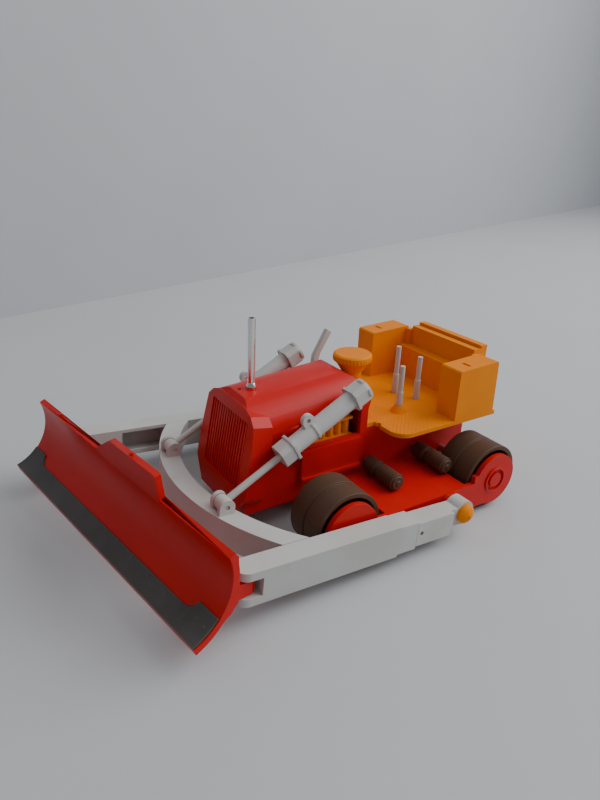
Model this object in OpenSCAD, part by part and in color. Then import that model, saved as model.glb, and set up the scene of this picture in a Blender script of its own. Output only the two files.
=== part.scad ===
// Toy bulldozer with a blade that lifts and angles. Millimetres.
// +X is forwards, +Y is the driver's left, +Z is up. The origin lies on the middle of
// the flat belly of the chassis, and the ground is belly_height below it.

/* [Running gear] */
// Height of the chassis belly above the ground
belly_height = 8; // [6:0.5:10]
// Distance between the front and rear axles
wheelbase = 64.6; // [55:0.1:75]
// Radius of the four track wheels
wheel_r = 12.3; // [10:0.1:14]
// Inner face of a wheel, from the middle of the machine
wheel_in = 26; // [22:0.5:30]
// Outer face of a wheel, from the middle of the machine
wheel_out = 41; // [38:0.1:44]
// Radius of the two steel axles
axle_r = 1.5; // [1:0.1:2.5]
// Radius of the discs that cover the wheel ends
disc_r = 9.8; // [8:0.1:11]
// Radius of the four carrier rollers
roller_r = 3.1; // [2:0.05:3.5]

/* [Body] */
// Half the width of the bonnet
hood_half = 16; // [12:0.5:18]
// Height of the bonnet ridge at the radiator, above the ground
hood_top = 47.4; // [40:0.1:52]
// Slope of the bonnet ridge, rising to the rear
hood_slope = 4.7; // [0:0.1:12]
// Wall thickness of the red mouldings
wall = 1.6; // [1:0.1:2.5]
// Half the width of the driver's deck
deck_half = 29.2; // [25:0.1:33]
// Height of the deck above the ground
deck_z = 32; // [28:0.5:36]
// Height of the side boxes above the ground
box_top = 51; // [45:0.5:56]

/* [Push frame] */
// Middle of each push arm, from the middle of the machine
arm_y = 48.25; // [46:0.05:52]
// Width of a push arm
arm_w = 7.5; // [6:0.1:9]
// Upward slope of the push arms at rest
arm_tilt = 4.1; // [0:0.1:8]
// Radius of the pins the push arms swing on
pivot_r = 2; // [1.5:0.1:3]
// Outer radius of the arched crossbar
arch_r = 73.7; // [65:0.1:80]
// Depth of the crossbar, front to back
arch_w = 7; // [5:0.1:9]

/* [Blade] */
// Half the width of the blade
blade_half = 56.5; // [50:0.5:65]
// Turn of the blade at rest, left end backwards
blade_turn = 10.4; // [0:0.1:12]
// Radius of the hollow front of the blade
mould_r = 17; // [15:0.1:24]
// Thickness of the blade
mould_t = 2; // [1.2:0.1:2.5]
// Height of the raised guard in the middle of the blade
guard_h = 9.4; // [5:0.1:12]

/* [Lift cylinders] */
// Middle of each lift cylinder, from the middle of the machine
ram_y = 20.8; // [19:0.1:23]
// Radius of the cylinder tubes
tube_r = 3.1; // [2.4:0.05:3.4]
// Radius of the rods
rod_r = 1.15; // [0.9:0.05:1.5]

/* [Hidden] */
$fn = 96;
axle_x = wheelbase / 2;
running = 0.06;
slip = 0.2;
lip = 1.3;
red = [0.72, 0.05, 0.04];
orange = [0.85, 0.5, 0.05];
grey = [0.72, 0.73, 0.71];
brown = [0.3, 0.22, 0.17];
steel = [0.6, 0.6, 0.62];
dark = [0.28, 0.27, 0.26];
chrome = [0.8, 0.8, 0.82];

plate_in = wheel_out + 0.4;
plate_out = plate_in + 1.8;
tub_half = 15.5;
tub_top = 30.3;
nose_half = 12.3;

pivot_x = -9.8;
pivot_z = 9.5;
sleeve_end = 76.2;
sleeve_back = 30.4;
arm_low = -7.4;
arm_high = 3.6;
arm_mid = (arm_low + arm_high) / 2;
arm_wall = 0.75;
slot_h = 5.8;
bar_low = -5.9;
bar_high = 2.6;
neck_u = [60, 68.4];
step_u = 22.8;
fork_pin = 6.25;
fork_pin_r = 1.3;
fork_shift = arm_y * tan(blade_turn);
fork_nose = sleeve_end + 0.15 + fork_pin;
blade_u = fork_nose + fork_shift;
clevis_u = 76.43;
clevis_w = 6.05;
clevis_pin_r = 0.9;
eye_clear = 0.45;

mould_u = 27.5;
mould_w = 10.1;
top_angle = 25;
tip_angle = 69;
edge_top = 48;
bit_top = 37;
edge_t = 0.6;

ram_tilt = 28.07;
clevis_x = 66;
clevis_z = 21;
trunnion_s = 37.2;
trunnion_x = clevis_x - trunnion_s * cos(ram_tilt);
trunnion_z = clevis_z + trunnion_s * sin(ram_tilt);
roller_xs = [6.3, -16.8];
roller_z = 17.1;

// Stands a shape drawn above the ground on the belly origin.
module placed() {
  translate([0, 0, -belly_height]) children();
}

// Copies a left-hand piece to the side asked for.
module on_side(side) {
  if (side > 0) children();
  else mirror([0, 1, 0]) children();
}

// A round bar along Y between two distances from the middle.
module bar_y(r, y0, y1) {
  translate([0, y0, 0]) rotate([-90, 0, 0]) cylinder(r = r, h = y1 - y0);
}

// A block given by its low and high corners.
module block(low, high) {
  translate(low) cube(high - low);
}

// An upright plate along Y, cut from a side outline in X and Z.
module side_plate(y0, y1) {
  translate([0, y1, 0]) rotate([90, 0, 0]) linear_extrude(y1 - y0) children();
}

// The leaning frame of the push arms: along the arm, sideways, square to the arm.
module in_arms() {
  placed() translate([pivot_x, 0, pivot_z]) rotate([0, -arm_tilt, 0]) children();
}

// The frame of the blade, turned about its middle between the forks.
module in_blade() {
  in_arms() translate([blade_u, 0, arm_mid]) rotate([0, 0, blade_turn]) children();
}

// The frame of a lift cylinder: its own X runs from the clevis pin to the rear cap.
module in_ram(side) {
  placed() on_side(side) translate([clevis_x, ram_y, clevis_z])
    rotate([0, ram_tilt - 180, 0]) children();
}

// Chassis tub under the deck with a nose that carries the engine.
module chassis() {
  color(red) placed() difference() {
    union() {
      block([-43, -tub_half, belly_height], [7, tub_half, tub_top]);
      block([7, -nose_half, belly_height], [50, nose_half, 26]);
    }
    block([-43 + wall, -tub_half + wall, belly_height + wall], [7 - wall, tub_half - wall, 40]);
    block([7, -nose_half + wall, belly_height + wall], [50 - wall, nose_half - wall, 26 - wall]);
    for (x = [-axle_x, axle_x])
      translate([x, 0, wheel_r]) bar_y(axle_r, -20, 20);
    for (x = roller_xs, side = [-1, 1])
      on_side(side) translate([x, 0, roller_z]) bar_y(0.9, tub_half - 1, tub_half + 1);
  }
}

// Side outline of the bonnet.
module hood_outline(inset) {
  nose = hood_top - (50.3 - 45) * 0.1;
  polygon([[7.2 + inset, 10 - inset], [55.2 - inset, 10 - inset], [56.2 - inset, 17],
    [52 - inset, nose - 2], [50.4 - inset, nose - inset],
    [18 + inset / 2, nose + 3.2 - inset], [13 + inset, nose + 2.9 - inset],
    [9.6 + inset, nose + 1.2 - inset], [7.2 + inset, nose - 1.8 - inset],
    [6.2 + inset, nose - 5.4 - inset], [7.2 + inset, nose - 9]]);
}

// Bonnet cross-section with an arched top, swept along the slope of the ridge.
module hood_section(inset) {
  half = hood_half - inset;
  arch = [[0, 0], [3.4, -0.2], [6.6, -0.85], [9.4, -2], [11.8, -3.6], [13.8, -5.7], [15.2, -8],
    [16, -10.4]];
  translate([50.2, 0, hood_top - inset]) rotate([0, hood_slope, 0])
    translate([-60, 0, 0]) rotate([90, 0, 90]) linear_extrude(90)
      polygon(concat([for (p = arch) [p[0] * half / 16, p[1]]], [[half, -60], [-half, -60]],
        [for (i = [7:-1:1]) [-arch[i][0] * half / 16, arch[i][1]]]));
}

// The bonnet body, solid, shrunk on every side by the inset.
module hood_body(inset) {
  intersection() {
    side_plate(-30, 30) hood_outline(inset);
    hood_section(inset);
  }
}

// Wider radiator shell at the front, with its four corners cut.
module radiator() {
  intersection() {
    translate([56.2, 0, 17]) rotate([0, -10, 0]) translate([-6.4, 0, 0])
      rotate([90, 0, 90]) linear_extrude(7.4)
        polygon([[-12, -7.4], [12, -7.4], [18.2, 0], [18.4, 6], [17, 19], [16.2, 24.4],
          [13.4, 27], [9, 28.6], [-9, 28.6], [-13.4, 27], [-16.2, 24.4], [-17, 19],
          [-18.4, 6], [-18.2, 0]]);
    block([46, -30, 9.6], [60, 30, 60]);
  }
}

// Radiator bars in the plane of the leaning front.
module grille_bars() {
  translate([56.2, 0, 17]) rotate([0, -10, 0])
    for (i = [-7:7])
      block([-0.3, i * 1.62 - 0.42, 0.6], [0.75, i * 1.62 + 0.42, 24.6]);
}

// Recess in the front that the radiator bars stand in.
module grille_recess() {
  translate([56.2, 0, 17]) rotate([0, -10, 0])
    block([-0.1, -12.4, 0.8], [4, 12.4, 24.4]);
}

// Bonnet, radiator shell and side rails in one moulding.
module hood() {
  color(red) placed() {
    difference() {
      union() {
        hood_body(0);
        radiator();
        for (side = [-1, 1]) on_side(side) {
          block([10.2, hood_half - 0.1, 18.4], [35, hood_half + 1.2, 28.4]);
          block([10.4, hood_half - 0.1, 17.4], [35, hood_half + 2.2, 18.5]);
          translate([trunnion_x, 0, trunnion_z]) bar_y(2.2, hood_half - 0.1, hood_half + 0.5);
          translate([trunnion_x, 0, trunnion_z]) bar_y(1.4, hood_half - 0.1, hood_half + 2.8);
          for (z = [21, 29, 35.6]) block([46.4, hood_half - 0.1, z], [49, hood_half + 0.5, z + 1.6]);
        }
      }
      difference() {
        hood_body(wall);
        block([38, -20, 29], [39.6, 20, 60]);
      }
      block([10.3, -20, 29.2], [29.4, 20, 39]);
      block([29.3, -20, 29.2], [37, 20, 35.8]);
      block([6, -nose_half - 0.05, 5], [50.1, nose_half + 0.05, 26.1]);
      grille_recess();
      translate([axle_x, 0, wheel_r]) bar_y(2, -20, 20);
      block([axle_x - 2, -20, 5], [axle_x + 2, 20, wheel_r]);
      translate([45, 0, 40]) cylinder(r = 1.25, h = 20);
      translate([48.6, -1.6, 40]) cylinder(r = 0.7, h = 20);
      translate([3.4, 0, 30]) cylinder(r = 3.7, h = 16);
    }
    grille_bars();
  }
}

// Engine block seen through the openings in the bonnet sides.
module engine() {
  color(orange) placed() {
    block([12, -10.4, 26.2], [34.4, 10.4, 36.5]);
    for (side = [-1, 1]) on_side(side) {
      for (i = [0:5])
        translate([13.6 + i * 3.3, 11.4, 26.2]) cylinder(r = 1.35, h = 9.8);
      translate([32.6, 0, 33]) bar_y(2.6, 10, 14.1);
      block([12, 10, 27.6], [30.6, 13.9, 28.8]);
      block([12, 10, 34.4], [30.6, 13.6, 35.4]);
    }
  }
}

// Floor outline of the deck with rounded front corners and a small notch beside the bonnet.
module deck_floor() {
  linear_extrude(1.5) difference() {
    union() {
      for (side = [-1, 1]) translate([-2.5, side * (deck_half - 6)]) circle(r = 6);
      translate([-43.5, -deck_half]) square([41, 2 * deck_half]);
      translate([-10, -deck_half + 6]) square([13.5, 2 * deck_half - 12]);
      translate([0, -15.5]) square([7, 31]);
    }
    for (side = [-1, 1]) translate([3.5, side * 17.6]) circle(r = 1.1);
  }
}

// Driver's deck with the two side boxes, the seat and the tank behind it.
module deck() {
  color(orange) placed() difference() {
    union() {
      translate([0, 0, deck_z - 1.5]) deck_floor();
      for (side = [-1, 1]) on_side(side) side_plate(19.6, deck_half)
        polygon([[-42.4, deck_z - 1.5], [-22.4, deck_z - 1.5], [-22.2, box_top - 0.5],
          [-22.7, box_top], [-40.8, box_top + 0.9], [-41.4, box_top + 0.4]]);
      block([-42.3, -19.7, deck_z - 0.2], [-36.5, 19.7, 44.5]);
      block([-45, -17.2, deck_z - 0.2], [-41.2, 17.2, 52.5]);
      block([-48, -17.2, deck_z - 0.2], [-44.9, 17.2, 53.6]);
      for (side = [-1, 1]) on_side(side)
        block([-42.3, 17.1, deck_z - 0.2], [-39.8, 19.7, box_top]);
      translate([-10.1, 12.5, deck_z - 0.1]) cylinder(r1 = 3.3, r2 = 1.5, h = 2.6);
    }
    block([-45.1, -16.1, 51.2], [-44.2, 16.1, 60]);
    for (side = [-1, 1]) on_side(side) {
      block([-29.6, 23, box_top - 0.9], [-28.4, 26.8, 60]);
      block([-40.9, 20.8, deck_z - 2], [-24, deck_half - 1.4, box_top - 1.6]);
    }
    block([-46.8, -16, deck_z - 1], [-42.4, 16, 50]);
    block([-41.2, -18, deck_z - 1], [-38, 18, 43]);
    translate([-10.1, 12.5, deck_z - 1]) cylinder(r = 0.85, h = 10);
    translate([-20.7, -2, deck_z - 1]) cylinder(r = 0.85, h = 10);
    translate([-23.9, 6.8, deck_z - 1]) cylinder(r = 0.85, h = 10);
    translate([3.4, 0, deck_z - 1]) cylinder(r = 2, h = 10);
  }
}

// One control lever: a thicker foot and a thinner handle.
module lever(x, y, foot, top) {
  color(grey) placed() translate([x, y, 0]) {
    translate([0, 0, deck_z - 1]) cylinder(r = 0.85, h = 5);
    translate([0, 0, foot]) cylinder(r1 = 1.35, r2 = 1.15, h = deck_z + 8 - foot);
    translate([0, 0, deck_z + 7.9]) cylinder(r = 0.95, h = top - deck_z - 7.9);
  }
}

module lever_left() { lever(-10.1, 12.5, deck_z + 2.5, 49.8); }
module lever_middle() { lever(-20.7, -2, deck_z, 51.2); }
module lever_right() { lever(-23.9, 6.8, deck_z, 49.2); }

// Chrome pipe standing in the bonnet.
module exhaust() {
  color(chrome) placed() translate([45, 0, 43.4]) difference() {
    union() {
      cylinder(r = 1.25, h = 27.9);
      translate([0, 0, 4.7]) cylinder(r1 = 1.8, r2 = 1.3, h = 1.2);
    }
    translate([0, 0, 16.6]) cylinder(r = 0.85, h = 20);
  }
}

// Mushroom-shaped air cleaner with a milled rim, standing on the deck.
module air_cleaner() {
  color(orange) placed() translate([3.4, 0, 0]) {
    translate([0, 0, deck_z - 1]) cylinder(r = 2, h = 2);
    translate([0, 0, deck_z]) cylinder(r = 3.6, h = 14.2);
    translate([0, 0, deck_z + 14]) cylinder(r1 = 3.6, r2 = 6.6, h = 4.6);
    translate([0, 0, deck_z + 18.5]) cylinder(r = 7.05, h = 2.1);
    translate([0, 0, deck_z + 20.5]) cylinder(r1 = 7.05, r2 = 6.4, h = 0.6);
    for (i = [0:35]) rotate([0, 0, i * 10])
      translate([6.85, 0, deck_z + 18.7]) cylinder(r = 0.35, h = 1.2);
  }
}

// Flat stick on the side of the bonnet, leaning back at its upper end.
module side_stick() {
  color(grey) placed() side_plate(-18, -hood_half)
    polygon([[7.4, 28.5], [10, 28.5], [9.7, 44], [9.3, 47.6], [3.7, 57.4], [1.5, 56.2],
      [6.3, 48.2], [7.3, 44.4]]);
}

// Track frame: outer plate with a cover disc over each wheel, and a shelf to the chassis.
module track_frame(side) {
  color(red) placed() on_side(side) difference() {
    union() {
      for (x = [-axle_x, axle_x]) translate([x, 0, wheel_r]) bar_y(disc_r, plate_in, plate_out);
      block([-axle_x, plate_in, 3.4], [axle_x, plate_out, 13.6]);
      block([-25.5, plate_in, 10], [-21.6, plate_out, 16.2]);
      block([-18.2, tub_half, 12.1], [18.2, plate_in + 0.1, 13.6]);
      block([-18.2, tub_half, 9], [18.2, tub_half + wall, 12.2]);
      block([-18.2, plate_in - wall, 5], [18.2, plate_in + 0.1, 12.2]);
      translate([-axle_x, 0, wheel_r]) bar_y(4.9, plate_out - 0.1, plate_out + 0.5);
      translate([pivot_x, 0, pivot_z]) bar_y(4.3, plate_out - 0.1, plate_out + 1.2);
      translate([pivot_x, 0, pivot_z]) bar_y(pivot_r, plate_out, arm_y + 3.4);
    }
    block([7.1, 0, 8], [20, hood_half + 0.05, 14]);
    for (x = [-axle_x, axle_x])
      translate([x, 0, wheel_r]) bar_y(axle_r, plate_in - 1, plate_out - 0.6);
    translate([-axle_x, 0, wheel_r]) difference() {
      bar_y(4.2, plate_out - 0.5, plate_out + 2);
      bar_y(2.8, plate_out - 1, plate_out + 3);
    }
  }
}

module track_frame_left() { track_frame(1); }
module track_frame_right() { track_frame(-1); }

// Steel axle through the chassis, held in blind holes in the track frames.
module axle(x) {
  color(steel) placed() translate([x, 0, wheel_r]) bar_y(axle_r, 0.6 - plate_out, plate_out - 0.6);
}

module axle_front() { axle(axle_x); }
module axle_rear() { axle(-axle_x); }

// The four pins the carrier rollers turn on.
module roller_pins() {
  color(steel) placed() for (x = roller_xs, side = [-1, 1])
    on_side(side) translate([x, 0, roller_z]) bar_y(0.9, tub_half - 1, 32.4);
}

// Track wheel: a hollow rim with a groove round the middle and a web to the hub.
module wheel(x, side) {
  mid = (wheel_in + wheel_out) / 2;
  color(brown) placed() on_side(side) translate([x, 0, wheel_r]) difference() {
    bar_y(wheel_r, wheel_in, wheel_out);
    difference() {
      bar_y(wheel_r + 1, mid - 0.45, mid + 0.45);
      bar_y(wheel_r - 0.6, mid - 1, mid + 1);
    }
    for (y = [[wheel_in - 1, mid - 1.2], [mid + 1.2, wheel_out + 1]]) difference() {
      bar_y(wheel_r - 1.7, y[0], y[1]);
      bar_y(3.4, y[0] - 1, y[1] + 1);
    }
    bar_y(axle_r + running, wheel_in - 1, wheel_out + 1);
  }
}

module wheel_front_left() { wheel(axle_x, 1); }
module wheel_front_right() { wheel(axle_x, -1); }
module wheel_rear_left() { wheel(-axle_x, 1); }
module wheel_rear_right() { wheel(-axle_x, -1); }

// Carrier roller: two drums with a narrow neck and a stepped end.
module roller(x, side) {
  color(brown) placed() on_side(side) translate([x, 0, roller_z]) difference() {
    union() {
      bar_y(roller_r, tub_half + 2.4, 23.4);
      bar_y(2.3, 23, 25.4);
      bar_y(roller_r, 25, 33.2);
      bar_y(2.4, 33, 33.9);
      bar_y(0.9, 33.8, 34.3);
    }
    bar_y(0.9 + running, tub_half, 32.7);
  }
}

module roller_front_left() { roller(roller_xs[0], 1); }
module roller_front_right() { roller(roller_xs[0], -1); }
module roller_rear_left() { roller(roller_xs[1], 1); }
module roller_rear_right() { roller(roller_xs[1], -1); }

// Domed cap pressed on the end of a push-arm pin.
module pivot_cap(side) {
  color(orange) placed() on_side(side) translate([pivot_x, 0, pivot_z]) difference() {
    union() {
      bar_y(3.4, arm_y + 1.95, arm_y + 3.1);
      intersection() {
        bar_y(3.4, arm_y + 3, arm_y + 6.7);
        translate([0, arm_y + 0.35, 0]) sphere(r = 4.4);
      }
      bar_y(0.5, arm_y + 4.4, arm_y + 5.1);
    }
    bar_y(pivot_r, arm_y, arm_y + 3.4);
  }
}

module pivot_cap_left() { pivot_cap(1); }
module pivot_cap_right() { pivot_cap(-1); }

// The arched crossbar between the arms, bulging forwards, with a neck into each arm.
module crossbar() {
  rear_u = arch_r - arch_w;
  reach = arm_y - arm_w / 2 - slip;
  translate([9.9, 0, -5.4]) intersection() {
    difference() {
      cylinder(r = arch_r, h = arm_high + 5.4, $fn = 180);
      translate([0, 0, -1]) cylinder(r = rear_u, h = 12, $fn = 180);
    }
    translate([0, -reach, 0]) cube([100, 2 * reach, 20]);
  }
  for (side = [-1, 1]) on_side(side)
    block([neck_u[0], reach - 0.4, -5.2], [neck_u[1], arm_y - 2.8, 2.1]);
}

// One ear of a clevis, with its pin hole.
module clevis_ear(y0, y1) {
  difference() {
    union() {
      translate([clevis_u, 0, clevis_w]) bar_y(2.6, y0, y1);
      block([clevis_u - 2.6, y0, arm_high - 4.4], [clevis_u + 2.6, y1, clevis_w]);
    }
    translate([clevis_u, 0, clevis_w]) bar_y(clevis_pin_r, y0 - 1, y1 + 1);
  }
}

// Crossbar and clevises in one moulding, hollowed a little under the eyes of the rods.
module push_frame() {
  color(grey) in_arms() difference() {
    union() {
      crossbar();
      for (side = [-1, 1]) on_side(side) {
        clevis_ear(ram_y - 3.4, ram_y - 1.8);
        clevis_ear(ram_y + 1.8, ram_y + 3.4);
      }
    }
    for (side = [-1, 1]) on_side(side) translate([clevis_u, 0, clevis_w])
      bar_y(3.1, ram_y - 1.8, ram_y + 1.8);
  }
}

// Bar of a push arm: an eye at the rear and a long stem inside the sliding fork.
module rear_bar(side) {
  color(grey) in_arms() on_side(side) difference() {
    union() {
      block([6.8, arm_y - 3.6, bar_low], [step_u - 0.3, arm_y + 3.6, bar_high]);
      block([step_u - 0.4, arm_y - 2.8, bar_low], [neck_u[1] + 0.6, arm_y + 2.8, bar_high]);
      block([1.5, arm_y - 3.5, -4.2], [6.9, arm_y + 1.9, bar_high]);
      bar_y(4.4, arm_y - 3.5, arm_y + 1.9);
    }
    bar_y(pivot_r + running, arm_y - 6, arm_y + 6);
    translate([20.6, 0, -1.5]) bar_y(0.8, arm_y - 6, arm_y + 6);
  }
}

module rear_bar_left() { rear_bar(1); }
module rear_bar_right() { rear_bar(-1); }

// Pins that join the lift rods to the clevises.
module clevis_pins() {
  color(grey) in_arms() for (side = [-1, 1]) on_side(side)
    translate([clevis_u, 0, clevis_w]) bar_y(clevis_pin_r, ram_y - 2.9, ram_y + 2.9);
}

// Fork: a long box that slides on the bar of a push arm, with a window for the
// crossbar in its inner wall and a slotted head for a tongue of the blade.
module fork(side, shift) {
  low_y = arm_y - arm_w / 2;
  high_y = arm_y + arm_w / 2;
  color(grey) in_arms() translate([shift, 0, 0]) on_side(side) difference() {
    union() {
      block([sleeve_back, low_y, arm_low], [fork_nose, high_y, arm_high]);
      block([step_u, low_y, -6.6], [sleeve_back + 0.1, high_y, 3.3]);
      translate([fork_nose, arm_y, arm_low]) cylinder(r = arm_w / 2, h = arm_high - arm_low);
    }
    block([sleeve_back - 0.1, low_y + arm_wall, arm_low + arm_wall],
      [74.4, high_y - arm_wall, arm_high - arm_wall]);
    block([step_u - 1, low_y + arm_wall, bar_low - 0.15],
      [sleeve_back, high_y - arm_wall, bar_high + 0.15]);
    block([neck_u[0] - 2 * fork_shift - 0.3, low_y - 1, -5.45],
      [neck_u[1] + 0.3, low_y + arm_wall + 0.1, arm_high - lip]);
    block([fork_nose - 3.55, low_y - 1, arm_mid - slot_h / 2],
      [fork_nose + 10, high_y + 1, arm_mid + slot_h / 2]);
    translate([fork_nose, arm_y, arm_low - 1]) cylinder(r = fork_pin_r, h = 20);
  }
}

module fork_left() { fork(1, 0); }
module fork_right() { fork(-1, 2 * fork_shift); }

// Upright pin through a fork and its tongue.
module tongue_pin(side, shift) {
  color(grey) in_arms() translate([fork_nose + shift, side * arm_y, arm_low])
    cylinder(r = fork_pin_r, h = arm_high - arm_low);
}

module fork_pin_left() { tongue_pin(1, 0); }
module fork_pin_right() { tongue_pin(-1, 2 * fork_shift); }

// Part of a ring about the centre of the blade's hollow, between two angles below level.
module curved_sheet(r0, r1, a0, a1, y0, y1) {
  far = 60;
  translate([mould_u, 0, mould_w]) intersection() {
    difference() {
      bar_y(r1, y0, y1);
      bar_y(r0, y0 - 1, y1 + 1);
    }
    side_plate(y0 - 1, y1 + 1) polygon([[0, 0], [-far * cos(a0), -far * sin(a0)],
      [-far * cos((a0 + a1) / 2), -far * sin((a0 + a1) / 2)], [-far * cos(a1), -far * sin(a1)]]);
  }
}

// Raised guard over the middle of the blade, sloped at its right-hand end.
module guard() {
  top_u = mould_u - mould_r * cos(top_angle);
  top_w = mould_w + mould_r * sin(top_angle);
  translate([top_u - 0.4, 0, top_w - 0.8]) rotate([0, 12, 0]) translate([-mould_t + 0.3, 0, 0]) {
    rotate([90, 0, 90]) linear_extrude(mould_t)
      polygon([[-13.5, 0], [24.8, 0], [24.8, guard_h - 0.4], [24, guard_h], [-0.5, guard_h],
        [-13.5, 0.7]]);
    translate([mould_t / 2, 11.3, guard_h - 0.1]) cylinder(r = 0.5, h = 0.9);
  }
}

// End flange behind the blade.
module flange(y0, y1) {
  difference() {
    side_plate(y0, y1) polygon([[12, 17.2], [9.3, 16.9], [8.5, 10], [7.9, 5.4], [8.4, 2.4],
      [10.6, -0.4], [13.6, -2], [18, -2.4], [24, 4]]);
    translate([mould_u, 0, mould_w]) bar_y(mould_r, y0 - 1, y1 + 1);
  }
}

// Tongue behind the blade, slotted sideways for the fork pin.
module tongue() {
  reach = arm_y / 2 * (1 + 1 / cos(blade_turn));
  difference() {
    union() {
      block([0, reach - 2.9, -2.3], [14.4, reach + 2.9, 2.3]);
      translate([0, reach, -2.3]) cylinder(r = 2.9, h = 4.6);
      block([7.4, reach - 2.9, -2.3], [10.4, reach + 2.9, 7.6]);
    }
    translate([0, reach - 0.45, -5]) cylinder(r = fork_pin_r + 0.15, h = 10);
    translate([0, reach + 0.45, -5]) cylinder(r = fork_pin_r + 0.15, h = 10);
    block([-fork_pin_r - 0.15, reach - 0.45, -5], [fork_pin_r + 0.15, reach + 0.45, 5]);
    translate([mould_u, 0, mould_w]) bar_y(mould_r + mould_t - 0.2, 30, 60);
  }
}

// Blade moulding: hollow sheet, guard, end flanges and tongues.
module blade() {
  color(red) in_blade() {
    curved_sheet(mould_r, mould_r + mould_t, -top_angle, tip_angle, -blade_half, blade_half);
    guard();
    for (side = [-1, 1]) on_side(side) {
      flange(blade_half - 1.8, blade_half);
      tongue();
    }
    translate([mould_u - (mould_r + 1) * cos(top_angle), -40,
      mould_w + (mould_r + 1) * sin(top_angle) - 0.2]) cylinder(r = 0.5, h = 1.2);
  }
}

// Cutting strip along the foot of the blade, with taller end bits cut at a slant.
module cutting_edge() {
  low_w = mould_w - mould_r * sin(edge_top + 2);
  high_w = mould_w - mould_r * sin(bit_top);
  end = blade_half - 0.3;
  color(dark) in_blade() {
    curved_sheet(mould_r - edge_t, mould_r, edge_top, tip_angle, -end, end);
    for (side = [-1, 1]) on_side(side) intersection() {
      curved_sheet(mould_r - edge_t, mould_r, bit_top, edge_top + 0.2, end - 14, end);
      translate([-10, 0, 0]) rotate([90, 0, 90]) linear_extrude(60)
        polygon([[end - 12.4, low_w], [end - 8.6, high_w - 0.9], [end - 7.6, high_w + 1],
          [end + 1, high_w + 1], [end + 1, low_w]]);
    }
  }
}

// Square tube slice along the cylinder, with its corners cut.
module collar(s0, s1, across) {
  half = across / 2;
  cut = half - 1.3;
  translate([s0, 0, 0]) rotate([90, 0, 90]) linear_extrude(s1 - s0)
    polygon([[-half, -cut], [-cut, -half], [cut, -half], [half, -cut],
      [half, cut], [cut, half], [-cut, half], [-half, cut]]);
}

// A round bar along the cylinder between two distances from the clevis pin.
module bar_s(r, s0, s1) {
  translate([s0, 0, 0]) rotate([0, 90, 0]) cylinder(r = r, h = s1 - s0);
}

// Lift cylinder barrel with end collars, a middle ring, a lug and a socket for the trunnion.
module barrel(side) {
  color(grey) in_ram(side) difference() {
    union() {
      bar_s(tube_r, 23, 59);
      collar(22.6, 27.4, 7);
      collar(27.2, 28.1, 7.8);
      bar_s(tube_r + 0.35, 36.4, 37.3);
      collar(53, 53.9, 7.8);
      collar(53.8, 58.4, 7);
      bar_s(3.9, 58.3, 59.4);
      translate([trunnion_s, 0, 0]) bar_y(2.5, 17.1 - ram_y, 0);
      block([34.2, -0.9, -4.6], [38.6, 0.9, 0]);
      translate([36.4, 0, -4.6]) bar_y(2.2, -0.9, 0.9);
    }
    bar_s(rod_r + running, 20, 56);
    translate([trunnion_s, 0, 0]) bar_y(1.4 + running, -6, 19.2 - ram_y);
    translate([36.4, 0, -4.7]) bar_y(0.8, -3, 3);
  }
}

module barrel_left() { barrel(1); }
module barrel_right() { barrel(-1); }

// Lift rod with the eye that sits between the clevis ears.
module rod(side) {
  color(grey) in_ram(side) difference() {
    union() {
      bar_s(rod_r, 1.5, 46);
      bar_y(2.4, -1.45, 1.45);
    }
    bar_y(clevis_pin_r + eye_clear, -4, 4);
  }
}

module rod_left() { rod(1); }
module rod_right() { rod(-1); }

chassis();
hood();
engine();
deck();
exhaust();
air_cleaner();
side_stick();
lever_left();
lever_middle();
lever_right();
track_frame_left();
track_frame_right();
axle_front();
axle_rear();
roller_pins();
wheel_front_left();
wheel_front_right();
wheel_rear_left();
wheel_rear_right();
roller_front_left();
roller_front_right();
roller_rear_left();
roller_rear_right();
pivot_cap_left();
pivot_cap_right();
push_frame();
rear_bar_left();
rear_bar_right();
clevis_pins();
fork_left();
fork_right();
fork_pin_left();
fork_pin_right();
blade();
cutting_edge();
barrel_left();
barrel_right();
rod_left();
rod_right();
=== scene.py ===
import math

import bmesh
import bpy
from mathutils import Matrix, Vector
from mathutils.bvhtree import BVHTree


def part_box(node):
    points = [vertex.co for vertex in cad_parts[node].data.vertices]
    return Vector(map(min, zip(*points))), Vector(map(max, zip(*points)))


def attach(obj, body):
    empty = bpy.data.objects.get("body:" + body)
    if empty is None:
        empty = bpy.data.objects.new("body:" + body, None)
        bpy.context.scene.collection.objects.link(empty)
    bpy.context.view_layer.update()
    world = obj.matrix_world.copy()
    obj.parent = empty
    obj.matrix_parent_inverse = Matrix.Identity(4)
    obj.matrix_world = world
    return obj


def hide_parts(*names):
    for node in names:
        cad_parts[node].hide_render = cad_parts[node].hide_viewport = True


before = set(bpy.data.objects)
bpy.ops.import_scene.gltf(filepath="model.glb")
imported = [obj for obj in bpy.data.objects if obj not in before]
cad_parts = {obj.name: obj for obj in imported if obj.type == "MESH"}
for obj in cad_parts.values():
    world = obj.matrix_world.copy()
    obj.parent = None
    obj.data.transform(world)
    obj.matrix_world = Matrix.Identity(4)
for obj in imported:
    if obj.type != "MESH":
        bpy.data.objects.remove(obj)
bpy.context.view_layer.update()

# ---------------------------------------------------------------- chassis
# The chassis is the red tub under the deck with a narrow nose under the bonnet, moulded
# in glossy polystyrene. Its edges are slightly rounded, as the mould leaves them.


def nodes_of(tree, **kinds):
    """Makes shader nodes by name and returns them as a dict."""
    made = {}
    for name, kind in kinds.items():
        made[name] = tree.nodes.new(kind)
        made[name].name = name
    return made


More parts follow.
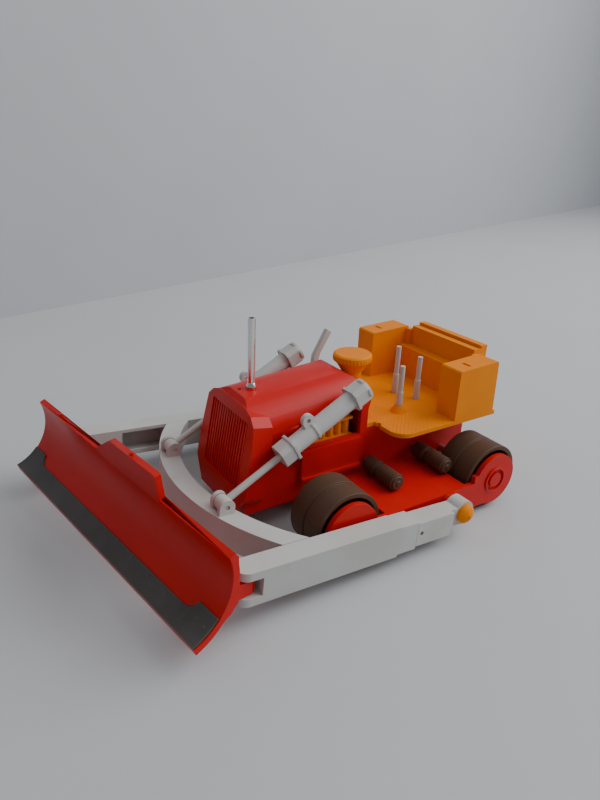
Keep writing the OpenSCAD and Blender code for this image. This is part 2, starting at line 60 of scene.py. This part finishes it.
def moulded_surface():
    """Shader group: uneven colour, handled sheen, fine grain and rubbed edges of moulded plastic."""
    group = bpy.data.node_groups.new("moulded_surface", "ShaderNodeTree")
    face = group.interface
    for name, kind, value in (
        ("Colour", "NodeSocketColor", (0.5, 0.5, 0.5, 1)),
        ("Deep", "NodeSocketColor", (0.3, 0.3, 0.3, 1)),
        ("Rubbed", "NodeSocketColor", (0.7, 0.7, 0.7, 1)),
        ("Fade", "NodeSocketFloat", 0.3),
        ("Rub", "NodeSocketFloat", 0.3),
        ("Rough", "NodeSocketFloat", 0.3),
        ("Smear", "NodeSocketFloat", 0.1),
        ("Grain", "NodeSocketFloat", 0.2),
    ):
        face.new_socket(name=name, in_out="INPUT", socket_type=kind).default_value = value
    face.new_socket(name="Colour", in_out="OUTPUT", socket_type="NodeSocketColor")
    face.new_socket(name="Rough", in_out="OUTPUT", socket_type="NodeSocketFloat")
    face.new_socket(name="Height", in_out="OUTPUT", socket_type="NodeSocketFloat")
    n = nodes_of(
        group, given="NodeGroupInput", out="NodeGroupOutput", place="ShaderNodeTexCoord",
        cloud="ShaderNodeTexNoise", smear="ShaderNodeTexNoise", grain="ShaderNodeTexNoise",
        stretch="ShaderNodeMapping", scratch="ShaderNodeTexNoise", shade="ShaderNodeMapRange",
        fade="ShaderNodeMath", tint="ShaderNodeMix", soft="ShaderNodeBevel",
        true="ShaderNodeNewGeometry", agree="ShaderNodeVectorMath", edge="ShaderNodeMapRange",
        chip="ShaderNodeMath", rub="ShaderNodeMath", worn="ShaderNodeMix",
        spread="ShaderNodeMath", sum="ShaderNodeMath", fine="ShaderNodeMapRange",
        dull="ShaderNodeMath", height="ShaderNodeMath", bump="ShaderNodeMath",
    )
    link = group.links.new
    textures = (("cloud", 55, 3), ("smear", 210, 4), ("grain", 2600, 2), ("scratch", 420, 3))
    for name, scale, detail in textures:
        n[name].inputs["Scale"].default_value = scale
        n[name].inputs["Detail"].default_value = detail
    for name in ("cloud", "smear", "grain"):
        link(n["place"].outputs["Object"], n[name].inputs["Vector"])
    n["stretch"].inputs["Scale"].default_value = (0.25, 1, 5)
    n["stretch"].inputs["Rotation"].default_value = (0.5, 0.3, 0.4)
    link(n["place"].outputs["Object"], n["stretch"].inputs["Vector"])
    link(n["stretch"].outputs["Vector"], n["scratch"].inputs["Vector"])
    # Cloudy change towards the deep colour.
    n["shade"].inputs["From Min"].default_value = 0.4
    n["shade"].inputs["From Max"].default_value = 0.72
    link(n["cloud"].outputs["Fac"], n["shade"].inputs["Value"])
    n["fade"].operation = "MULTIPLY"
    link(n["shade"].outputs["Result"], n["fade"].inputs[0])
    link(n["given"].outputs["Fade"], n["fade"].inputs[1])
    n["tint"].data_type = "RGBA"
    link(n["fade"].outputs[0], n["tint"].inputs["Factor"])
    link(n["given"].outputs["Colour"], n["tint"].inputs["A"])
    link(n["given"].outputs["Deep"], n["tint"].inputs["B"])
    # Edges are where the softened normal leaves the true one.
    n["soft"].samples = 4
    n["soft"].inputs["Radius"].default_value = 0.00035
    n["agree"].operation = "DOT_PRODUCT"
    link(n["soft"].outputs["Normal"], n["agree"].inputs[0])
    link(n["true"].outputs["Normal"], n["agree"].inputs[1])
    n["edge"].inputs["From Min"].default_value = 0.995
    n["edge"].inputs["From Max"].default_value = 0.86
    link(n["agree"].outputs["Value"], n["edge"].inputs["Value"])
    n["chip"].operation = "MULTIPLY"
    link(n["edge"].outputs["Result"], n["chip"].inputs[0])
    link(n["smear"].outputs["Fac"], n["chip"].inputs[1])
    n["rub"].operation = "MULTIPLY"
    link(n["chip"].outputs[0], n["rub"].inputs[0])
    link(n["given"].outputs["Rub"], n["rub"].inputs[1])
    n["worn"].data_type = "RGBA"
    link(n["rub"].outputs[0], n["worn"].inputs["Factor"])
    link(n["tint"].outputs["Result"], n["worn"].inputs["A"])
    link(n["given"].outputs["Rubbed"], n["worn"].inputs["B"])
    link(n["worn"].outputs["Result"], n["out"].inputs["Colour"])
    # Sheen: smears of handling and a few long fine scratches.
    n["spread"].operation = "MULTIPLY"
    link(n["smear"].outputs["Fac"], n["spread"].inputs[0])
    link(n["given"].outputs["Smear"], n["spread"].inputs[1])
    n["sum"].operation = "ADD"
    link(n["given"].outputs["Rough"], n["sum"].inputs[0])
    link(n["spread"].outputs[0], n["sum"].inputs[1])
    n["fine"].inputs["From Min"].default_value = 0.66
    n["fine"].inputs["From Max"].default_value = 0.74
    n["fine"].inputs["To Max"].default_value = 0.14
    link(n["scratch"].outputs["Fac"], n["fine"].inputs["Value"])
    n["dull"].operation = "ADD"
    link(n["sum"].outputs[0], n["dull"].inputs[0])
    link(n["fine"].outputs["Result"], n["dull"].inputs[1])
    link(n["dull"].outputs[0], n["out"].inputs["Rough"])
    # Height: mould grain and slow waviness.
    n["height"].operation = "MULTIPLY"
    link(n["grain"].outputs["Fac"], n["height"].inputs[0])
    link(n["given"].outputs["Grain"], n["height"].inputs[1])
    n["bump"].operation = "ADD"
    link(n["height"].outputs[0], n["bump"].inputs[0])
    link(n["smear"].outputs["Fac"], n["bump"].inputs[1])
    link(n["bump"].outputs[0], n["out"].inputs["Height"])
    return group


SURFACE = moulded_surface()


def moulded(name, colour, deep, rubbed, fade, rub, rough, smear, grain, bump=0.25, **shader):
    """A moulded plastic: the surface group feeding a Principled shader."""
    material = bpy.data.materials.new(name)
    material.use_nodes = True
    tree = material.node_tree
    principled = tree.nodes["Principled BSDF"]
    surface = tree.nodes.new("ShaderNodeGroup")
    surface.node_tree = SURFACE
    surface.name = "surface"
    for socket, value in (("Colour", (*colour, 1)), ("Deep", (*deep, 1)), ("Rubbed", (*rubbed, 1)),
                          ("Fade", fade), ("Rub", rub), ("Rough", rough), ("Smear", smear),
                          ("Grain", grain)):
        surface.inputs[socket].default_value = value
    relief = tree.nodes.new("ShaderNodeBump")
    relief.name = "relief"
    relief.inputs["Strength"].default_value = bump
    relief.inputs["Distance"].default_value = 0.00006
    tree.links.new(surface.outputs["Colour"], principled.inputs["Base Color"])
    tree.links.new(surface.outputs["Rough"], principled.inputs["Roughness"])
    tree.links.new(surface.outputs["Height"], relief.inputs["Height"])
    tree.links.new(relief.outputs["Normal"], principled.inputs["Normal"])
    for socket, value in shader.items():
        principled.inputs[socket.replace("_", " ")].default_value = value
    return material


def finish_piece(name, mesh, material, body, nodes, crease=38):
    """Shades a made mesh, gives it its material and puts it in place of its CAD nodes."""
    mesh.polygons.foreach_set("use_smooth", [True] * len(mesh.polygons))
    mesh.set_sharp_from_angle(angle=math.radians(crease))
    mesh.materials.clear()
    mesh.materials.append(material)
    piece = bpy.data.objects.new(name, mesh)
    bpy.context.scene.collection.objects.link(piece)
    even = piece.modifiers.new("even_shading", "WEIGHTED_NORMAL")
    even.keep_sharp = True
    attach(piece, body)
    if nodes:
        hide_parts(*nodes)
    return piece


def softened(node, material, body, width=0.0003, corner=35, segments=2, crease=38,
             wide=None, wide_width=0.001):
    """A CAD node with its hard edges rounded by a small bevel, and chosen ones by a wide bevel."""
    form = bmesh.new()
    form.from_mesh(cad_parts[node].data)
    bmesh.ops.remove_doubles(form, verts=form.verts, dist=1e-6)
    bmesh.ops.dissolve_limit(form, angle_limit=math.radians(0.6), verts=form.verts, edges=form.edges)
    if wide:
        chosen = [e for e in form.edges if len(e.link_faces) == 2
                  and e.calc_face_angle(0) > math.radians(12) and wide(e)]
        bmesh.ops.bevel(form, geom=chosen, offset=wide_width, offset_type="OFFSET", segments=4,
                        profile=0.5, affect="EDGES", clamp_overlap=True, material=-1)
    hard = [e for e in form.edges if len(e.link_faces) == 2
            and e.calc_face_angle(0) > math.radians(corner)]
    if hard:
        bmesh.ops.bevel(form, geom=hard, offset=width, offset_type="OFFSET", segments=segments,
                        profile=0.5, affect="EDGES", clamp_overlap=True, material=-1)
    bmesh.ops.recalc_face_normals(form, faces=form.faces)
    mesh = bpy.data.meshes.new(node + "_look")
    form.to_mesh(mesh)
    form.free()
    return finish_piece(node + "_look", mesh, material, body, [node], crease)


gloss_red = moulded("gloss_red", (0.62, 0.003, 0.001), (0.50, 0.002, 0.001), (0.66, 0.03, 0.015),
                    fade=0.5, rub=0.4, rough=0.28, smear=0.14, grain=0.15, bump=0.15,
                    Specular_IOR_Level=0.28)
softened("chassis", gloss_red, "chassis")

# ---------------------------------------------------------------- bonnet
# One glossy red moulding: radiator shell with upright bars, sloping top with rounded
# shoulders, side panels and the rails that the lift cylinders' trunnions stand on.
# The shoulders of the shell are rounded much more than its other edges.
MM = 0.001
hood_low, hood_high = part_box("hood")
shell_back = hood_high.x - 12.5 * MM
shell_side = 7.5 * MM
shell_foot = hood_low.z + 8 * MM
shoulder_length = 1.2 * MM


def is_shoulder(edge):
    """Long slanting edges on the outer corners of the radiator shell."""
    if edge.calc_length() < shoulder_length:
        return False
    return all(end.co.x > shell_back and abs(end.co.y) > shell_side and end.co.z > shell_foot
               for end in edge.verts)


softened("hood", gloss_red, "chassis", width=0.00035, wide=is_shoulder,
         wide_width=0.0016, crease=56)

# ---------------------------------------------------------------- track frames
# Red frames clipped to the chassis sides, each with a shelf between the wheels and an
# outer plate that ends in a cover disc over each wheel.
for side in ("left", "right"):
    softened(f"track_frame_{side}", gloss_red, "chassis", width=0.0003)

# ---------------------------------------------------------------- blade
# The blade is one glossy red moulding, hollow in front, with a raised guard, an end
# flange at each side and two tongues behind that sit in the forks.
softened("blade", gloss_red, "blade", width=0.00035)

# ---------------------------------------------------------------- cutting edge
# A thin strip along the foot of the blade with taller end bits, coated dull grey and
# scuffed so that the coating has worn thin in places.
edge_coating = moulded("edge_coating", (0.085, 0.078, 0.072), (0.05, 0.045, 0.042), (0.3, 0.28, 0.27),
                       fade=0.8, rub=0.8, rough=0.4, smear=0.2, grain=0.5, bump=0.4, Metallic=0.3)
softened("cutting_edge", edge_coating, "blade", width=0.00012)

# ---------------------------------------------------------------- edge bolts
# Low round bolt heads, moulded in one piece with the cutting strip and coated like it. Only
# the left-hand half of the strip carries them here: a row of five, and two on its end bit.
bolt_foot_r = 0.00062
bolt_top_r = 0.00045
bolt_depth = 0.0003
bolt_reach = 0.01
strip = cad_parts["cutting_edge"]
strip_points = [corner.co.copy() for corner in strip.data.vertices]
right_end = min(strip_points, key=lambda place: place.y)
left_end = max(strip_points, key=lambda place: place.y)
strip_way = Vector((left_end.x - right_end.x, left_end.y - right_end.y, 0)).normalized()
forwards = Vector((strip_way.y, -strip_way.x, 0))
strip_length = Vector((left_end.x - right_end.x, left_end.y - right_end.y)).length
strip_middle = sum(strip_points, Vector()) / len(strip_points)
strip_faces = BVHTree.FromPolygons(strip_points, [face.vertices[:] for face in strip.data.polygons])
bolt_form = bmesh.new()


def add_bolt(offset, rise):
    """A bolt head where a line square to the strip meets its face."""
    outward = (forwards * 0.55 + Vector((0, 0, 0.83))).normalized()
    start = strip_middle + strip_way * offset + Vector((0, 0, rise)) + outward * bolt_reach
    place, normal, _, _ = strip_faces.ray_cast(start, -outward)
    if place is not None and normal.dot(outward) > 0.5:
        turn = normal.to_track_quat("Z", "Y").to_matrix().to_4x4()
        bmesh.ops.create_cone(bolt_form, cap_ends=True, segments=20, radius1=bolt_foot_r,
                              radius2=bolt_top_r, depth=bolt_depth,
                              matrix=Matrix.Translation(place) @ turn)


bolt_pitch = strip_length / 12
end_bit_rise = 0.0035
for count in range(1, 6):
    add_bolt(count * bolt_pitch, 0)
for inwards in (0.0025, 0.006):
    add_bolt(strip_length / 2 - inwards, end_bit_rise)
bolt_mesh = bpy.data.meshes.new("edge_bolts")
bolt_form.to_mesh(bolt_mesh)
bolt_form.free()
finish_piece("edge_bolts", bolt_mesh, edge_coating, "blade", [])

# ---------------------------------------------------------------- engine and deck
# The engine block, the driver's deck with its boxes, the air cleaner and the pin caps
# are moulded in orange-yellow plastic with a satin finish.
satin_orange = moulded("satin_orange", (0.88, 0.25, 0.0), (0.76, 0.18, 0.0), (0.92, 0.33, 0.0),
                       fade=0.45, rub=0.5, rough=0.38, smear=0.12, grain=0.35,
                       Specular_IOR_Level=0.12)
softened("engine", satin_orange, "chassis", width=0.0002)
softened("deck", satin_orange, "chassis", width=0.0006, segments=3)
softened("air_cleaner", satin_orange, "chassis", width=0.0002)
for side in ("left", "right"):
    softened(f"pivot_cap_{side}", satin_orange, "chassis", width=0.0002)

# ---------------------------------------------------------------- deck tread
# The deck floor is moulded with a fine slanting tread: low ribs that stop short of the
# boxes, the rounded front corners, the air cleaner and the foot of the near lever.
deck_low, deck_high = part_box("deck")
cleaner_low, cleaner_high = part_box("air_cleaner")
lever_low, lever_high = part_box("lever_left")
floor_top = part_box("lever_middle")[0].z + 1 * MM
floor_front = deck_high.x - 3.5 * MM
floor_half = deck_high.y
box_front = deck_low.x + 26 * MM
seat_front = deck_low.x + 11.7 * MM
box_inner_side = 19.6 * MM
corner_r = 6 * MM
margin = 0.8 * MM
stem_clear = 4.3 * MM
foot_clear = 3.8 * MM
stem = (Vector(cleaner_low) + Vector(cleaner_high)).xy / 2
foot = (Vector(lever_low) + Vector(lever_high)).xy / 2


def on_tread(x, y):
    """Whether a point of the floor carries the tread."""
    across = abs(y)
    if x > floor_front - margin or x < seat_front + margin or across > floor_half - margin:
        return False
    if x < box_front + margin and across > box_inner_side - margin:
        return False
    past_x = x - (floor_front - corner_r)
    past_y = across - (floor_half - corner_r)
    if past_x > 0 and past_y > 0 and math.hypot(past_x, past_y) > corner_r - margin:
        return False
    spot = Vector((x, y))
    return (spot - stem).length > stem_clear and (spot - foot).length > foot_clear


tread_form = bmesh.new()
rib_step = 1.3 * MM
rib_width = 0.45 * MM
rib_depth = 0.22 * MM
rib_centre = floor_top + 0.03 * MM
shortest_rib = 1 * MM
sample = 0.2 * MM
slant = math.radians(45)
along = Vector((math.cos(slant), math.sin(slant)))
across_ribs = Vector((-along.y, along.x))
for line in range(-40, 41):
    start = None
    for count in range(-300, 301):
        spot = across_ribs * line * rib_step + along * count * sample
        inside = on_tread(spot.x, spot.y)
        if inside and start is None:
            start = spot
        if not inside and start is not None:
            length = (spot - start).length
            if length > shortest_rib:
                middle = (start + spot) / 2
                bmesh.ops.create_cube(
                    tread_form, size=1,
                    matrix=Matrix.Translation((middle.x, middle.y, rib_centre))
                    @ Matrix.Rotation(slant, 4, "Z")
                    @ Matrix.Diagonal((length, rib_width, rib_depth, 1)))
            start = None
tread_mesh = bpy.data.meshes.new("deck_tread")
tread_form.to_mesh(tread_mesh)
tread_form.free()
finish_piece("deck_tread", tread_mesh, satin_orange, "chassis", [])

# ---------------------------------------------------------------- push frame
# The arched crossbar with its clevises, the two bars that swing on the chassis pins and the
# two long forks that slide over them are pale grey plastic, yellowed a little, with fine
# handling marks. Upright pins hold the blade's tongues in the forks.
pale_grey = moulded("pale_grey", (0.55, 0.555, 0.53), (0.47, 0.44, 0.37), (0.64, 0.64, 0.62),
                    fade=0.6, rub=0.5, rough=0.38, smear=0.15, grain=0.35)
softened("push_frame", pale_grey, "push_frame", width=0.0004)
for side in ("left", "right"):
    softened(f"rear_bar_{side}", pale_grey, "push_frame", width=0.0004)
    softened(f"fork_{side}", pale_grey, f"fork_{side}", width=0.0004)
    softened(f"fork_pin_{side}", pale_grey, f"fork_{side}", width=0.0001)
softened("clevis_pins", pale_grey, "push_frame", width=0.0001)

# ---------------------------------------------------------------- lift cylinders
# Each lift cylinder is a grey barrel with square collars, a ring and a lug, and a rod
# whose eye sits between the clevis ears.
for side in ("left", "right"):
    softened(f"barrel_{side}", pale_grey, f"barrel_{side}", width=0.0003)
    softened(f"rod_{side}", pale_grey, f"rod_{side}", width=0.0002)

# ---------------------------------------------------------------- levers and stick
# Three moulded grey levers pushed into the deck, and a flat stick on the far side of the
# bonnet that leans back at its upper end.
for node in ("lever_left", "lever_middle", "lever_right", "side_stick"):
    softened(node, pale_grey, "chassis", width=0.00025)

# ---------------------------------------------------------------- track wheels and rollers
# Wheels and carrier rollers are dark brown plastic, grooved for the missing track belts that
# used to turn them, and a little chalky from handling.
dark_brown = moulded("dark_brown", (0.10, 0.052, 0.030), (0.065, 0.034, 0.02), (0.2, 0.14, 0.10),
                     fade=0.6, rub=0.4, rough=0.42, smear=0.2, grain=0.5, bump=0.35,
                     Specular_IOR_Level=0.3)
for end in ("front", "rear"):
    for side in ("left", "right"):
        softened(f"wheel_{end}_{side}", dark_brown, f"wheel_{end}_{side}", width=0.00035)
        softened(f"roller_{end}_{side}", dark_brown, f"roller_{end}_{side}", width=0.0003)

# ---------------------------------------------------------------- axles and pins
# Plain steel wire rods, cut to length and pressed into the mouldings. The wheels and the
# carrier rollers turn on them.
bright_wire = moulded("bright_wire", (0.5, 0.5, 0.52), (0.4, 0.4, 0.42), (0.6, 0.6, 0.6),
                      fade=0.4, rub=0.2, rough=0.25, smear=0.15, grain=0.4, Metallic=1.0)
softened("axle_front", bright_wire, "chassis", width=0.0002)
softened("axle_rear", bright_wire, "chassis", width=0.0002)
softened("roller_pins", bright_wire, "chassis", width=0.0001)

# ---------------------------------------------------------------- exhaust
# A thin tube with a short flared foot, pushed into the top of the bonnet. It is plated
# bright, so it mirrors the red around it.
plated = moulded("plated", (0.8, 0.79, 0.78), (0.62, 0.6, 0.58), (0.85, 0.85, 0.85),
                 fade=0.3, rub=0.1, rough=0.06, smear=0.1, grain=0.1, bump=0.3, Metallic=1.0)
softened("exhaust", plated, "chassis", width=0.0001)

# ---------------------------------------------------------------- table, wall, light and camera
# A plain pale table top against a plain pale wall, under soft daylight from behind and to
# the right, which throws a soft shadow to the front left.
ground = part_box("wheel_rear_left")[0].z
backdrop_size = 6
bpy.ops.mesh.primitive_plane_add(size=backdrop_size, location=(0, 0, ground))
table_top = bpy.context.object
table_top.name = "table_top"

wall_foot = Vector((-0.2114, -0.3679, ground))
wall_turn = math.radians(-164.01)
wall_middle = wall_foot + Vector((0, 0, backdrop_size / 2))
bpy.ops.mesh.primitive_plane_add(size=backdrop_size, location=wall_middle)
wall = bpy.context.object
wall.name = "wall"
wall.rotation_euler = (math.radians(90), 0, wall_turn)


def painted(name, colour):
    """A matt paint with a faint cloudy unevenness."""
    material = bpy.data.materials.new(name)
    material.use_nodes = True
    tree = material.node_tree
    n = nodes_of(tree, place="ShaderNodeTexCoord", cloud="ShaderNodeTexNoise", tone="ShaderNodeMix")
    n["cloud"].inputs["Scale"].default_value = 9
    n["tone"].data_type = "RGBA"
    n["tone"].inputs["A"].default_value = (*colour, 1)
    n["tone"].inputs["B"].default_value = (*[part * 0.93 for part in colour], 1)
    principled = tree.nodes["Principled BSDF"]
    principled.inputs["Roughness"].default_value = 0.6
    principled.inputs["Specular IOR Level"].default_value = 0.2
    tree.links.new(n["place"].outputs["Object"], n["cloud"].inputs["Vector"])
    tree.links.new(n["cloud"].outputs["Fac"], n["tone"].inputs["Factor"])
    tree.links.new(n["tone"].outputs["Result"], principled.inputs["Base Color"])
    return material


table_top.data.materials.append(painted("table_paint", (0.56, 0.57, 0.58)))
wall.data.materials.append(painted("wall_paint", (0.50, 0.51, 0.53)))

room = bpy.data.worlds.new("room")
room.use_nodes = True
room.node_tree.nodes["Background"].inputs["Color"].default_value = (0.74, 0.77, 0.82, 1)
room.node_tree.nodes["Background"].inputs["Strength"].default_value = 0.28
bpy.context.scene.world = room


def soft_light(name, place, aim, size, power, colour):
    """A square area light that looks at a point."""
    lamp = bpy.data.lights.new(name, "AREA")
    lamp.size = size
    lamp.energy = power
    lamp.color = colour
    holder = bpy.data.objects.new(name, lamp)
    bpy.context.scene.collection.objects.link(holder)
    holder.location = place
    holder.rotation_euler = (Vector(aim) - Vector(place)).to_track_quat("-Z", "Y").to_euler()


soft_light("window", (-0.75, 0.35, 0.70), (0, 0, 0.02), 0.95, 11.5, (0.96, 0.98, 1.0))
soft_light("ceiling", (0.0, 0.1, 1.3), (0, -0.2, 0), 1.4, 4.5, (1.0, 0.98, 0.96))

eye = bpy.data.cameras.new("eye")
eye.lens = 27.769
eye.sensor_width = 36
eye.clip_start = 0.01
eye.clip_end = 20
viewer = bpy.data.objects.new("viewer", eye)
bpy.context.scene.collection.objects.link(viewer)
viewer.location = (0.13553, 0.16598, 0.11905)
viewer.rotation_euler = (math.radians(66.1008), math.radians(-2.1904), math.radians(147.4177))
bpy.context.scene.camera = viewer
